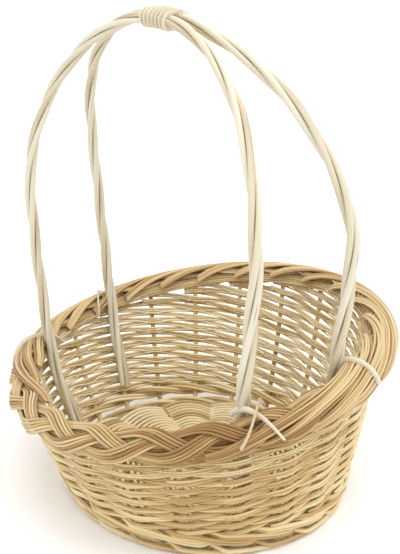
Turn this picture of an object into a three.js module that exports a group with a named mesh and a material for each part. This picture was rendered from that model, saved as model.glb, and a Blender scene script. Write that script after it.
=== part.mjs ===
// A round willow basket: woven wall on upright stakes, plaited border and a handle of two roped hoops.
// Millimetres, +Z up. The basket stands on z = 0 and the handle runs along Y.
import * as THREE from "three";

// Driving dimensions of the body
const baseHalfX = 130; // the base, measured to the stakes, across the handle
const baseHalfY = 142; // the same along the handle
const rimHalfX = 172; // the mouth, measured to the stakes
const rimHalfY = 174;
const baseShiftX = -16; // the base's middle lies to one side of the mouth's
const baseShiftY = -20;
const wallRise = 118; // mean height of the stakes over the base
const tiltX = 17; // the mouth is not level: it climbs toward +X
const tiltY = -19; // and falls toward +Y
const belly = 0.45; // how much the wall swells near the foot, 0 for a straight wall

// Rods
const stakeCount = 21; // odd, so one weaver changes sides each round; a multiple of 3 for the waling
const stakeRadius = 2.6;
const stakeGrip = 38; // length of each stake that lies in the base
const weaverHalfWidth = 1.8; // each weaver is a pair of thin rods, one over the other
const weaverHalfHeight = 3.4; // at a stake; between stakes the pair is drawn together to its row's height
const weaverCount = 8;
const roundsPerWeaver = 2;
const waleRadius = 2.3; // round 1 of the waling is of single rods
const pairHalfWidth = 2.1; // round 2 is of pairs of rods, one over the other
const pairHalfHeight = 3.5;
const waleWorkIn = 0.98; // waling is drawn in to this share of its clearance in front of the stakes
const cornerSlack = 1.6; // and needs this more behind them where they turn up
const rodGap = 0.4; // clearance between rods that press on each other

// Base
const stickRadius = 3;
const crossingRadius = 38; // where the sticks have fanned out and the base weave starts
const baseWeaveThickness = 4.4;
const baseRibs = 4; // rounds of weave that show on each face of the base
const ribDip = 0.35; // how far the weave sinks between two ribs, as a share of its thickness
const slathLength = 1.4; // the sticks stay parallel for this much more than their crossing needs

// Border
const plaitRepeats = 9;
const plaitRadius = 16; // the plait is bent round the top of the wall
const plaitMiddle = THREE.MathUtils.degToRad(42); // its middle line, measured up from level
const plaitSwing = THREE.MathUtils.degToRad(50); // how far each strand swings to either side
const strandHalfWidth = 6.5;
const strandHalfThickness = 2.7;

// Handle
const handleTop = 465; // to the top of the hoops, under the binding
const handleX = -30; // the handle stands off the middle of the mouth
const handleLean = 5; // its top leans toward +Y
const footSpread = 100; // between the two hoops' feet
const springHeight = 285; // where the legs turn into the arch
const legBow = 17; // how far each leg has moved out by then
const hoopRods = 3; // each hoop is three tapered rods twisted together
const hoopRadiusButt = 4.1; // the rods' thick ends stand at -Y
const hoopRadiusTop = 2.5;
const hoopRadiusTip = 2.8;
const hoopTaper = 1.1; // power of the taper toward the butts
const hoopTurn = 202; // length of one full twist
const hoopStepsPerTurn = 8;
const archClose = 1.5; // power of the way in which the two hoops come together toward the top
const archMeet = 1.04; // over 1, they meet a little before the top, so they run straight under the binding
const footDepth = 70; // how far the feet reach down inside the wall
const tieRadius = 1.9;
const tieGap = 0.05; // a tie is drawn down hard on the plait
const tieHalfRun = 27; // how far a tie runs along the border to each side of its foot
const crossedTieLift = 2 * tieRadius + 8 * rodGap; // the second front tie bows over the first
const bindingRadius = 1.3;
const bindingTurns = 7;
const bindingPitch = 4.9;

const willow = new THREE.MeshStandardMaterial({ color: 0xd9bd86, roughness: 0.62, metalness: 0 });
const paleWillow = new THREE.MeshStandardMaterial({ color: 0xe8dfc2, roughness: 0.55, metalness: 0 });
const stakeWillow = new THREE.MeshStandardMaterial({ color: 0xcda968, roughness: 0.65, metalness: 0 });

const basket = new THREE.Group();

function add(name, geometry, material) {
  const mesh = new THREE.Mesh(geometry, material);
  mesh.name = name;
  basket.add(mesh);
}

// A closed rod along a row of points. halfSize gives the section's half width and half height at a
// point, across gives the direction of its width there; a round rod needs neither direction.
function rod(points, halfSize, sides, across) {
  const positions = [];
  const faces = [];
  const last = points.length - 1;
  let carried = new THREE.Vector3(0, 0, 1);
  points.forEach((point, i) => {
    const along = points[Math.min(i + 1, last)].clone().sub(points[Math.max(i - 1, 0)]).normalize();
    if (i === 0 && Math.abs(along.z) > 0.9) carried.set(1, 0, 0);
    const wide = (across ? across(i) : carried).clone();
    wide.addScaledVector(along, -wide.dot(along)).normalize();
    carried = wide.clone();
    const high = along.clone().cross(wide);
    const [halfWidth, halfHeight] = halfSize(i / last);
    for (let j = 0; j < sides; j++) {
      const turn = (2 * Math.PI * j) / sides;
      const corner = point.clone();
      corner.addScaledVector(wide, halfWidth * Math.cos(turn));
      corner.addScaledVector(high, halfHeight * Math.sin(turn));
      positions.push(corner.x, corner.y, corner.z);
    }
  });
  for (let i = 0; i < last; i++) {
    for (let j = 0; j < sides; j++) {
      const a = i * sides + j;
      const b = i * sides + ((j + 1) % sides);
      faces.push(a, b, b + sides, a, b + sides, a + sides);
    }
  }
  for (let j = 1; j < sides - 1; j++) {
    faces.push(0, j + 1, j);
    faces.push(last * sides, last * sides + j, last * sides + j + 1);
  }
  const geometry = new THREE.BufferGeometry();
  geometry.setAttribute("position", new THREE.Float32BufferAttribute(positions, 3));
  geometry.setIndex(faces);
  return geometry;
}

const round = (radius) => () => [radius, radius];

// The wall, which everything else is placed from. Angles run from +X toward +Y.
const baseMiddle = baseWeaveThickness + rodGap + stickRadius; // height of the sticks' and stakes' middle
const wallHeight = (angle) => wallRise + tiltX * Math.cos(angle) + tiltY * Math.sin(angle);

// A point of the wall's middle line at a height over the base's middle, moved outward by out.
function wallPoint(angle, height, out = 0) {
  const share = height / wallHeight(angle);
  const swell = share * (1 + belly * (1 - share));
  const halfX = baseHalfX + (rimHalfX - baseHalfX) * swell + out;
  const halfY = baseHalfY + (rimHalfY - baseHalfY) * swell + out;
  const x = halfX * Math.cos(angle) + baseShiftX * (1 - share);
  const y = halfY * Math.sin(angle) + baseShiftY * (1 - share);
  return new THREE.Vector3(x, y, baseMiddle + height);
}

// How far the wall leans out from upright at a height.
function wallLean(angle, height) {
  const rise = wallPoint(angle, height + 1).sub(wallPoint(angle, height));
  return Math.atan(rise.x * Math.cos(angle) + rise.y * Math.sin(angle));
}

// The border is bent round a line that runs just outside and below the top of the wall.
const bendOut = 1;
const bendDown = 3;
const layerSlack = 1.5; // two strands cross where each is at 0.87 of its way off the middle line
const strandLayer = (strandHalfThickness + rodGap) * layerSlack;

// A strand's angle round the bend, and its depth from the plait's middle line, at an angle of the wall.
function strandAt(k, angle) {
  const phase = angle * plaitRepeats + (2 * Math.PI * k) / 3;
  return { up: plaitMiddle + plaitSwing * Math.cos(phase), depth: strandLayer * Math.sin(2 * phase) };
}

// The depth of the plait's outside (side 1) or inside (side -1) where a rod of a radius lies on it.
function plaitFace(angle, up, side, radius) {
  let face = side > 0 ? -strandLayer : 0;
  for (let k = 0; k < 3; k++) {
    const strand = strandAt(k, angle);
    const away = Math.abs(up - strand.up) * plaitRadius;
    if (away < strandHalfWidth + radius) face = Math.max(face, side * strand.depth + strandHalfThickness);
  }
  return side * face;
}

// Stakes: each lies in the base, turns up at its edge and stands up to the underside of the plait.
function stakeTop(angle) {
  const lean = Math.tan(wallLean(angle, wallHeight(angle)));
  const ups = [Math.PI / 2, Math.atan2(plaitRadius, lean * plaitRadius - bendOut)];
  const around = [-1, 0, 1].map((step) => angle + (step * stakeRadius) / rimHalfX);
  const inside = Math.min(...around.flatMap((at) => ups.map((up) => plaitFace(at, up, -1, stakeRadius))));
  const reach = plaitRadius + inside - rodGap;
  // How far over the wall's top a side of the stake may reach, within that distance of the bend's line.
  const rise = (slope, aside) => {
    const [a, b, c] = [1 + slope ** 2, slope * aside + bendDown, aside ** 2 + bendDown ** 2 - reach ** 2];
    return (Math.sqrt(b ** 2 - a * c) - b) / a;
  };
  const endTilt = (stakeRadius * lean) / Math.hypot(1, lean); // the side toward the mouth ends higher
  const outer = rise(lean, stakeRadius - bendOut);
  const inner = rise(-lean, stakeRadius + bendOut) - endTilt;
  return wallHeight(angle) + Math.min(outer, inner);
}
const stakeStep = (2 * Math.PI) / stakeCount;
const stakeAngle = (n) => (n - 0.25) * stakeStep; // a quarter step off, so base sticks pass beside them
function addStakes() {
  const wallSteps = 5;
  for (let n = 0; n < stakeCount; n++) {
    const angle = stakeAngle(n);
    const points = [wallPoint(angle, 0, -stakeGrip), wallPoint(angle, 0, -3 * stakeRadius)];
    for (let i = 0; i <= wallSteps; i++) {
      points.push(wallPoint(angle, (stakeTop(angle) * i) / wallSteps));
    }
    const name = "stake_" + String(n + 1).padStart(2, "0");
    add(name, rod(points, round(stakeRadius), 5), stakeWillow);
  }
}

// Waling: three strands to a round, each in front of two stakes and behind one. Round 1 lies in the
// corner between base and wall; round 2 lies on the wall above it and leans as the wall does.
const waleIn = stakeRadius + waleRadius + rodGap;
const waleStack = (halfHeight) => halfHeight + rodGap / 2; // half the height between two strands outside
const cornerLean = Math.PI / 4;
const secondRound = 2 * waleStack(waleRadius) + 2 * waleStack(pairHalfHeight);
function walePoint(angle, middle, lean, out, over) {
  const outward = out * Math.cos(lean) + over * Math.sin(lean);
  const upward = over * Math.cos(lean) - out * Math.sin(lean);
  return wallPoint(angle, middle, outward).add(new THREE.Vector3(0, 0, upward));
}
function addWaling(roundNumber, middle, leanAt, slack, [halfWidth, halfHeight]) {
  const clear = stakeRadius + halfWidth + rodGap;
  const outer = clear * waleWorkIn;
  const stack = waleStack(halfHeight);
  const crossingSlack = 2 * rodGap; // a strand bows out where another passes behind it
  for (let k = 0; k < 3; k++) {
    const points = [];
    const outward = [];
    for (let i = 0; i <= 2 * stakeCount; i++) {
      const phase = (i + 2 * k) % 6; // 0 behind a stake, 2 and 4 in front, odd between stakes
      const out = [-clear - slack, 0, outer, outer + crossingSlack, outer, 0][phase];
      const over = [0, stack, stack, 0, -stack, -stack][phase];
      const angle = stakeAngle(i / 2);
      const lean = leanAt(angle);
      points.push(walePoint(angle, middle, lean, out, over));
      outward.push(walePoint(angle, middle, lean, out + 1, over).sub(points[i]));
    }
    shortenEnds(points, rodGap / 2);
    const section = () => [halfWidth, halfHeight];
    const sides = 6;
    add("upset_" + roundNumber + "_rod_" + (k + 1), rod(points, section, sides, (i) => outward[i]), willow);
  }
}

// Pulls both ends of a closed round of points back a little, so a rod's tip meets its own butt.
function shortenEnds(points, length) {
  const last = points.length - 1;
  const start = points[1].clone().sub(points[0]).setLength(length);
  const end = points[last - 1].clone().sub(points[last]).setLength(length);
  points[0].add(start);
  points[last].add(end);
}

// Weavers: plain over-and-under weave, in front of one stake and behind the next, climbing one
// row each round. Rows are level over the waling and run with the mouth at the top. Each is a pair of
// thin rods, so it stands tall at the stakes, where the rows over and under it pass on the other side.
const rows = weaverCount * roundsPerWeaver;
const weaveStart = secondRound + waleStack(pairHalfHeight) + pairHalfHeight + rodGap;
const rowPitch = (angle) => (wallHeight(angle) - weaveStart) / (rows + 1);
const weaverOut = stakeRadius + weaverHalfWidth + rodGap;
function addWeavers() {
  const stepsPerRound = 2 * stakeCount;
  for (let w = 0; w < weaverCount; w++) {
    const points = [];
    const upTheWall = [];
    const steps = stepsPerRound * roundsPerWeaver;
    for (let i = 0; i <= steps; i++) {
      const step = w * steps + i;
      const angle = stakeAngle(step / 2);
      const height = weaveStart + rowPitch(angle) * (0.5 + step / stepsPerRound);
      const side = step % 2 === 1 ? 0 : step % 4 === 0 ? 1 : -1;
      points.push(wallPoint(angle, height, (side * weaverOut) / Math.cos(wallLean(angle, height))));
      upTheWall.push(wallPoint(angle, height + 1).sub(wallPoint(angle, height)));
    }
    shortenEnds(points, 2 * rodGap);
    const size = (share) => {
      const step = Math.round((w + share) * steps);
      const drawnIn = (rowPitch(stakeAngle(step / 2)) - rodGap) / 2;
      return [step % 2 === 1 ? Math.min(weaverHalfHeight, drawnIn) : weaverHalfHeight, weaverHalfWidth];
    };
    add("weaver_" + (w + 1), rod(points, size, 4, (i) => upTheWall[i]), willow);
  }
}

// Base: three cross sticks threaded through four base sticks; their fourteen ends fan out between
// two faces of weave, which also hold the stakes.
function addBaseSticks(name, count, firstEnd, turned, level) {
  const ends = 14;
  const spacing = 2 * stickRadius + rodGap;
  for (let s = 0; s < count; s++) {
    const side = s - (count - 1) / 2;
    const half = ((count + 1) / 2) * spacing * slathLength;
    const cross = (sign) => {
      const along = sign * half;
      const point = turned ? [side * spacing, along] : [along, side * spacing];
      return new THREE.Vector3(point[0] + baseShiftX, point[1] + baseShiftY, baseMiddle + level);
    };
    const fan = (end, share) => {
      const angle = (2 * Math.PI * end) / ends;
      const reach = wallPoint(angle, 0, -3 * stakeRadius - waleIn);
      return new THREE.Vector3(baseShiftX, baseShiftY, baseMiddle).lerp(reach, share);
    };
    const share = crossingRadius / baseHalfX;
    const near = firstEnd - side;
    const far = firstEnd + ends / 2 + side;
    const [there, back] = turned ? [near, far] : [firstEnd + side, firstEnd + ends / 2 - side];
    const points = [fan(there, 1), fan(there, share), cross(1), cross(-1), fan(back, share), fan(back, 1)];
    add(name + "_" + (s + 1), rod(points, round(stickRadius), 5), stakeWillow);
  }
}
function addBaseWeave() {
  const inner = crossingRadius / baseHalfX;
  const face = (flatHeight, ribbedHeight, edge) => {
    const outer = 1 - edge / baseHalfX;
    const profile = [new THREE.Vector2(inner, flatHeight)];
    profile.push(new THREE.Vector2(outer, flatHeight));
    for (let i = 2 * baseRibs; i >= 0; i--) {
      const dip = i % 2 === 0 ? ribDip : 0;
      const height = THREE.MathUtils.lerp(ribbedHeight, flatHeight, dip);
      profile.push(new THREE.Vector2(THREE.MathUtils.lerp(inner, outer, i / (2 * baseRibs)), height));
    }
    profile.push(profile[0].clone());
    if (ribbedHeight < flatHeight) profile.reverse();
    const disc = new THREE.LatheGeometry(profile, stakeCount);
    disc.rotateX(Math.PI / 2);
    disc.scale(baseHalfX, baseHalfY, 1);
    disc.translate(baseShiftX, baseShiftY, 0);
    return disc;
  };
  const over = baseMiddle + stickRadius + rodGap;
  add("base_weave_under", face(0, baseWeaveThickness, 2 * waleRadius + rodGap), willow);
  add("base_weave_over", face(over, over + baseWeaveThickness, 3 * stakeRadius), willow);
}

// Border: three strands plaited flat and bent over the top of the wall, from just inside the mouth
// to the outside. up is the angle round the bend and depth the distance from its middle line.
function borderPoint(angle, up, depth) {
  const reach = plaitRadius + depth;
  const point = wallPoint(angle, wallHeight(angle), bendOut + reach * Math.cos(up));
  point.z += reach * Math.sin(up) - bendDown;
  return point;
}
function addBorder() {
  const stepsPerRepeat = 12;
  const steps = plaitRepeats * stepsPerRepeat;
  const nudge = 0.01; // a small turn round the bend, to find the way a strand's width lies
  for (let k = 0; k < 3; k++) {
    const points = [];
    const widths = [];
    for (let i = 0; i <= steps; i++) {
      const angle = (2 * Math.PI * i) / steps;
      const { up, depth } = strandAt(k, angle);
      points.push(borderPoint(angle, up, depth));
      widths.push(borderPoint(angle, up + nudge, 0).sub(borderPoint(angle, up, 0)));
    }
    shortenEnds(points, rodGap / 2);
    const section = () => [strandHalfWidth, strandHalfThickness];
    add("border_strand_" + (k + 1), rod(points, section, 6, (i) => widths[i]), willow);
  }
}

// Handle: two hoops, each of three rods twisted together. Their feet run down inside the wall, and
// they meet side by side under the binding.
// How far each rod's middle lies from its hoop's, and how far the whole hoop reaches.
function ropeSpacing(radius) {
  const touching = (radius + rodGap / 2) / Math.sin(Math.PI / hoopRods);
  return touching / Math.cos(Math.PI / hoopStepsPerTurn);
}
const hoopReach = (radius) => ropeSpacing(radius) + radius;
// How far in from the stakes a foot stands at a height, clear of the weave.
function footInset(angle, height) {
  const square = weaverOut + weaverHalfWidth + hoopReach(angle > 0 ? hoopRadiusTip : hoopRadiusButt);
  return square / Math.cos(wallLean(angle, height));
}
const topHalfGap = hoopReach(hoopRadiusTop) + rodGap / 2;
const hoopRadius = (share) => {
  const fromTop = Math.abs(2 * share - 1);
  const foot = share > 0.5 ? hoopRadiusButt : hoopRadiusTip;
  return THREE.MathUtils.lerp(hoopRadiusTop, foot, fromTop ** hoopTaper);
};
// The wall's angle at which a foot stands; side picks the hoop and end picks +Y or -Y.
function footAngle(side, end) {
  const middle = (end * Math.PI) / 2;
  const inset = footInset(middle, wallHeight(middle));
  const across = (handleX + (side * footSpread) / 2) / (rimHalfX - inset);
  return end * Math.acos(across);
}
function hoopCurve(side) {
  const points = [];
  const leg = (end) => {
    const angle = footAngle(side, end);
    const top = wallHeight(angle);
    const heights = [top - footDepth, top - footDepth / 2, top];
    return heights.map((height) => wallPoint(angle, height, -footInset(angle, height)));
  };
  const [start, finish] = [leg(1), leg(-1).reverse()];
  points.push(...start);
  const rimY = [start[2].y + legBow, finish[0].y - legBow];
  const archSteps = 16;
  for (let i = 0; i <= archSteps; i++) {
    const turn = (Math.PI * i) / archSteps;
    const close = Math.min(1, archMeet * Math.sin(turn) ** archClose);
    const spread = THREE.MathUtils.lerp(footSpread / 2, topHalfGap, close);
    const y = (rimY[0] + rimY[1]) / 2 + ((rimY[0] - rimY[1]) / 2) * Math.cos(turn);
    const z = springHeight + (handleTop - springHeight) * Math.sin(turn);
    points.push(new THREE.Vector3(handleX + side * spread, y + handleLean * Math.sin(turn), z));
  }
  points.push(...finish);
  return new THREE.CatmullRomCurve3(points, false, "centripetal");
}
function addHoop(name, side) {
  const curve = hoopCurve(side);
  const turns = curve.getLength() / hoopTurn;
  const steps = Math.round(turns * hoopStepsPerTurn);
  for (let k = 0; k < hoopRods; k++) {
    const points = [];
    for (let i = 0; i <= steps; i++) {
      const share = i / steps;
      const along = curve.getTangentAt(share);
      const level = new THREE.Vector3(1, 0, 0).addScaledVector(along, -along.x).normalize();
      const turn = 2 * Math.PI * (turns * (share - 0.5) + k / hoopRods);
      const offset = level.applyAxisAngle(along, turn);
      points.push(curve.getPointAt(share).addScaledVector(offset, ropeSpacing(hoopRadius(share))));
    }
    const size = (share) => [hoopRadius(share), hoopRadius(share)];
    add("hoop_" + name + "_rod_" + (k + 1), rod(points, size, 5), paleWillow);
  }
}

// Binding: one unbroken winding round both hoops at the top of the handle.
function addBinding() {
  const curve = hoopCurve(1);
  const flat = topHalfGap; // half the width of the winding's flat stretch
  const bend = hoopReach(hoopRadiusTop) + 1.5 * rodGap + bindingRadius;
  const perimeter = 4 * flat + 2 * Math.PI * bend;
  const stepsPerTurn = 20;
  const steps = bindingTurns * stepsPerTurn;
  const length = bindingTurns * bindingPitch;
  const points = [];
  // Walks round a shape of two straight sides and two half-round ends.
  const around = (distance) => {
    const halfLoop = perimeter / 2;
    const second = distance >= halfLoop;
    const d = distance % halfLoop;
    const sign = second ? -1 : 1;
    if (d < 2 * flat) return [sign * (flat - d), sign * bend];
    const turn = Math.PI / 2 + (d - 2 * flat) / bend;
    return [sign * (-flat + bend * Math.cos(turn)), sign * bend * Math.sin(turn)];
  };
  const curveLength = curve.getLength();
  const shares = Array.from({ length: 101 }, (_, i) => 0.4 + i * 0.002);
  const highest = shares.reduce((a, b) => (curve.getPointAt(b).z > curve.getPointAt(a).z ? b : a));
  for (let i = 0; i <= steps; i++) {
    const [x, z] = around(((i % stepsPerTurn) / stepsPerTurn) * perimeter);
    const share = highest + (length * (i / steps - 0.5)) / curveLength;
    const middle = curve.getPointAt(share);
    const along = curve.getTangentAt(share);
    const up = new THREE.Vector3(1, 0, 0).cross(along).normalize();
    if (up.z < 0) up.negate();
    points.push(new THREE.Vector3(handleX + x, middle.y, middle.z).addScaledVector(up, z));
  }
  const stub = (from, to) => to.clone().sub(from).setLength(2 * bindingRadius).add(to);
  points.unshift(stub(points[1], points[0]));
  points.push(stub(points[points.length - 2], points[points.length - 1]));
  let leastGap = Infinity;
  for (let i = 0; i < points.length; i++) {
    for (let j = i + stepsPerTurn / 2; j < points.length; j++) {
      leastGap = Math.min(leastGap, points[i].distanceTo(points[j]) - 2 * bindingRadius);
    }
  }
  console.log("handle binding: least gap to itself " + leastGap.toFixed(2) + " mm");
  add("handle_binding", rod(points, round(bindingRadius), 6), paleWillow);
}

// Ties: a split rod over the border at each foot, from inside on one side to outside on the other.
// The foot nearest the front has two, crossing.
const tieSteps = 12;
const tieInside = THREE.MathUtils.degToRad(145);
const tieOutside = THREE.MathUtils.degToRad(-40);
function addTie(number, side, end, slant, lift) {
  const middle = footAngle(side, end);
  const upAt = (share) => THREE.MathUtils.lerp(tieInside, tieOutside, share);
  const angleAt = (share) => middle + (slant * tieHalfRun * (2 * share - 1)) / rimHalfX;
  const points = [];
  const outward = [];
  for (let i = 0; i <= tieSteps; i++) {
    const nearby = [-1, -0.5, 0, 0.5, 1].map((step) => (i + step) / tieSteps);
    const faces = nearby.map((share) => plaitFace(angleAt(share), upAt(share), 1, tieRadius));
    const share = i / tieSteps;
    const depth = Math.max(...faces) + tieRadius + tieGap + lift * Math.sin(Math.PI * share);
    points.push(borderPoint(angleAt(share), upAt(share), depth));
    outward.push(borderPoint(angleAt(share), upAt(share), depth + 1).sub(points[i]));
  }
  add("foot_tie_" + number, rod(points, round(tieRadius), 4, (i) => outward[i]), paleWillow);
}

addStakes();
addWaling(1, 0, () => cornerLean, cornerSlack, [waleRadius, waleRadius]);
addWaling(2, secondRound, (angle) => wallLean(angle, secondRound), 0, [pairHalfWidth, pairHalfHeight]);
addWeavers();
addBaseSticks("base_stick", 4, 3.5, true, stickRadius + rodGap / 2);
addBaseSticks("cross_stick", 3, 0, false, -stickRadius - rodGap / 2);
addBaseWeave();
addBorder();
addHoop("near", -1);
addHoop("far", 1);
addBinding();
addTie(1, -1, 1, 0.6, 0);
addTie(2, 1, 1, -1, 0);
addTie(3, 1, -1, 1, 0);
addTie(4, -1, -1, 1, 0);
addTie(5, -1, -1, -1, crossedTieLift);

// The frame's origin is the middle of the foot of the whole basket's box.
const box = new THREE.Box3().setFromObject(basket);
const middle = box.getCenter(new THREE.Vector3());
basket.position.set(-middle.x, -middle.y, -box.min.z);
const part = new THREE.Group();
part.add(basket);

export default part;
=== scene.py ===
# %% [markdown]
# # A willow basket with a plaited border and a roped handle
#
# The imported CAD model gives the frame: where each stake, weaver and hoop is. This script gives the basket its
# looks. Every rod is made again by Geometry Nodes from the same rules that the CAD follows, round and tapered,
# with its own grain, and each new piece stands for the CAD nodes that it covers.

# %% Load the frame
import math
from types import SimpleNamespace

import bpy
from mathutils import Matrix, Vector


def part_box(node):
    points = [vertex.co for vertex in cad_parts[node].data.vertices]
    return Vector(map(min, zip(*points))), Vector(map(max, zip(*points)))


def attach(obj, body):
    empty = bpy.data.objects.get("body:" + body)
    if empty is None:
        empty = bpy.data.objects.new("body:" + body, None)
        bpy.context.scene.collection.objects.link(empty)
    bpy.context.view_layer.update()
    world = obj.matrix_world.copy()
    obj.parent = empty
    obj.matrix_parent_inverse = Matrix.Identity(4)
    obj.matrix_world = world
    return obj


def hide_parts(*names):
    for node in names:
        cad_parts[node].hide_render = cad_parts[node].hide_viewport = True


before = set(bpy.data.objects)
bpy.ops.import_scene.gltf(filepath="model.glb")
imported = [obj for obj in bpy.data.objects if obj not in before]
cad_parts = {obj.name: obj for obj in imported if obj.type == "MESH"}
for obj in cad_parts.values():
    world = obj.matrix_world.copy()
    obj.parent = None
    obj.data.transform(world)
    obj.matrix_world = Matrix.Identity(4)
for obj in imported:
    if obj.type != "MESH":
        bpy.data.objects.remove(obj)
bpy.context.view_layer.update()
scene = bpy.context.scene
MM = 0.001

# %% [markdown]
# ## Camera
#
# The camera stands where the photograph's did: above the rim and to one side, looking down a little. Distance,
# height and turn come from a fit of the basket's outlines. Its numbers are measured from the middle of the mouth,
# so we first find that middle in the frame, from the base, which lies a known step to one side of it.

# %% Camera
BASE_SHIFT_X = -16 * MM
BASE_SHIFT_Y = -20 * MM
CAMERA_LENS = 108
CAMERA_DISTANCE = 1.193
CAMERA_ELEVATION = 23.7
CAMERA_AZIMUTH = -43.8
CAMERA_ROLL = -1.1
base_low, base_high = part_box("base_weave_under")
MIDDLE_X = (base_low.x + base_high.x) / 2 - BASE_SHIFT_X
MIDDLE_Y = (base_low.y + base_high.y) / 2 - BASE_SHIFT_Y


def aim(distance, elevation, azimuth, roll, target):
    """Turns a viewing direction and a distance into a camera's matrix."""
    el, az, tip = (math.radians(a) for a in (elevation, azimuth, roll))
    back = Vector((math.sin(az) * math.cos(el), -math.cos(az) * math.cos(el), math.sin(el)))
    right = Vector((math.cos(az), math.sin(az), 0))
    up = back.cross(right)
    right, up = right * math.cos(tip) + up * math.sin(tip), up * math.cos(tip) - right * math.sin(tip)
    axes = Matrix((right, up, back)).transposed().to_4x4()
    return Matrix.Translation(Vector(target) + back * distance) @ axes


camera_data = bpy.data.cameras.new("camera")
camera_data.sensor_fit = "HORIZONTAL"
camera_data.lens = CAMERA_LENS
camera = bpy.data.objects.new("camera", camera_data)
camera_target = (MIDDLE_X + 0.0142, MIDDLE_Y + 0.0121, 0.2)
camera.matrix_world = aim(CAMERA_DISTANCE, CAMERA_ELEVATION, CAMERA_AZIMUTH, CAMERA_ROLL, camera_target)
scene.collection.objects.link(camera)
scene.camera = camera
print("camera at", tuple(round(v, 3) for v in camera.matrix_world.translation))

# %% [markdown]
# ## Studio
#
# A catalogue picture of a pale basket is lit from all round, on white. A large floor, a white world and two wide
# soft lights do that. The stronger one stands to the right, so each rod keeps a lit and a shaded side, and the other
# hangs over the basket and reaches the inside of the wall, which the rim would leave too dark.

# %% Floor, world and lights
FLOOR_HALF = 12
floor_mesh = bpy.data.meshes.new("floor")
floor_corners = [(x * FLOOR_HALF, y * FLOOR_HALF, 0) for x, y in ((-1, -1), (1, -1), (1, 1), (-1, 1))]
floor_mesh.from_pydata(floor_corners, [], [(0, 1, 2, 3)])
floor = bpy.data.objects.new("floor", floor_mesh)
scene.collection.objects.link(floor)
floor_paint = bpy.data.materials.new("floor_paint")
floor_paint.use_nodes = True
floor_shader = floor_paint.node_tree.nodes["Principled BSDF"]
floor_shader.inputs["Base Color"].default_value = (0.97, 0.97, 0.97, 1)
floor_shader.inputs["Roughness"].default_value = 0.9
floor_mesh.materials.append(floor_paint)

world = bpy.data.worlds.new("studio")
world.use_nodes = True
world.node_tree.nodes["Background"].inputs["Color"].default_value = (1, 1, 1, 1)
world.node_tree.nodes["Background"].inputs["Strength"].default_value = 1.2
scene.world = world
scene.view_settings.view_transform = "Standard"


def soft_light(name, power, size, azimuth, elevation, distance=1.6):
    """A square light that faces the basket from a direction given as for the camera."""
    light = bpy.data.lights.new(name, "AREA")
    light.energy = power
    light.size = size
    lamp = bpy.data.objects.new(name, light)
    lamp.matrix_world = aim(distance, elevation, azimuth, 0, (0, 0, 0.15))
    scene.collection.objects.link(lamp)


soft_light("key_light", 7, 1.2, 35, 55)
soft_light("top_light", 5, 1.2, -45, 80)
print("lights and floor are in place")

# %% [markdown]
# ## Arithmetic that also runs inside a node tree
#
# A basket is all rules: how far out a rod stands at this angle and this height. We want to write each rule once
# and use it twice, in plain Python and inside Geometry Nodes. A Field wraps an output socket, and each sum with it
# adds a Math node, so the same function works on numbers and on sockets.


# %% Fields
class Field:
    """A number that a node tree works out at every point. Arithmetic on it adds Math nodes."""

    def __init__(self, tree, socket):
        self.tree = tree
        self.socket = socket

    def __add__(self, other):
        return compute("ADD", self, other)

    def __sub__(self, other):
        return compute("SUBTRACT", self, other)

    def __mul__(self, other):
        return compute("MULTIPLY", self, other)

    def __truediv__(self, other):
        return compute("DIVIDE", self, other)

    def __rsub__(self, other):
        return compute("SUBTRACT", other, self)

    def __rtruediv__(self, other):
        return compute("DIVIDE", other, self)

    def __neg__(self):
        return compute("MULTIPLY", self, -1.0)

    __radd__ = __add__
    __rmul__ = __mul__


def feed(tree, socket, value):
    """Joins a field, a node's first output or a socket to an input, or writes a plain value there."""
    if isinstance(value, Field):
        value = value.socket
    if isinstance(value, bpy.types.Node):
        value = value.outputs[0]
    if isinstance(value, bpy.types.NodeSocket):
        tree.links.new(value, socket)
    else:
        socket.default_value = value


def compute(operation, *values):
    tree = next(value.tree for value in values if isinstance(value, Field))
    node = tree.nodes.new("ShaderNodeMath")
    node.operation = operation
    for socket, value in zip(node.inputs, values):
        feed(tree, socket, value)
    return Field(tree, node.outputs[0])


def both_ways(operation, plain):
    """A function that adds a node where a value is a field, and works a plain number out at once."""

    def work(*values):
        if any(isinstance(value, Field) for value in values):
            return compute(operation, *values)
        return plain(*values)

    return work


sin = both_ways("SINE", math.sin)
cos = both_ways("COSINE", math.cos)
root = both_ways("SQRT", math.sqrt)
power = both_ways("POWER", math.pow)
least = both_ways("MINIMUM", min)
most = both_ways("MAXIMUM", max)
whole = both_ways("FLOOR", math.floor)
distance_from_zero = both_ways("ABSOLUTE", abs)


def mix(low, high, share):
    return low + (high - low) * share


def clamp(value, low=0.0, high=1.0):
    return least(most(value, low), high)


print("mix(2, 4, 0.5) =", mix(2, 4, 0.5))

# %% [markdown]
# ## The wall's rule
#
# The basket stands on an oval base and opens to a nearly round mouth that isn't level. The wall swells a little
# above the foot, as willow does when it is bent up and woven. These are the CAD's own sizes and formula, in metres.

# %% The wall
SIZES = {
    "middle_x": MIDDLE_X,
    "middle_y": MIDDLE_Y,
    "base_half_x": 130 * MM,
    "base_half_y": 142 * MM,
    "rim_half_x": 172 * MM,
    "rim_half_y": 174 * MM,
    "base_shift_x": BASE_SHIFT_X,
    "base_shift_y": BASE_SHIFT_Y,
    "base_middle": 7.8 * MM,
    "wall_rise": 118 * MM,
    "tilt_x": 17 * MM,
    "tilt_y": -19 * MM,
    "belly": 0.45,
    "stake_radius": 2.6 * MM,
    "rod_gap": 0.4 * MM,
}
STAKES = 21
STAKE_STEP = 2 * math.pi / STAKES
sizes = SimpleNamespace(**SIZES)


def wall_height(s, angle):
    return s.wall_rise + s.tilt_x * cos(angle) + s.tilt_y * sin(angle)


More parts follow.
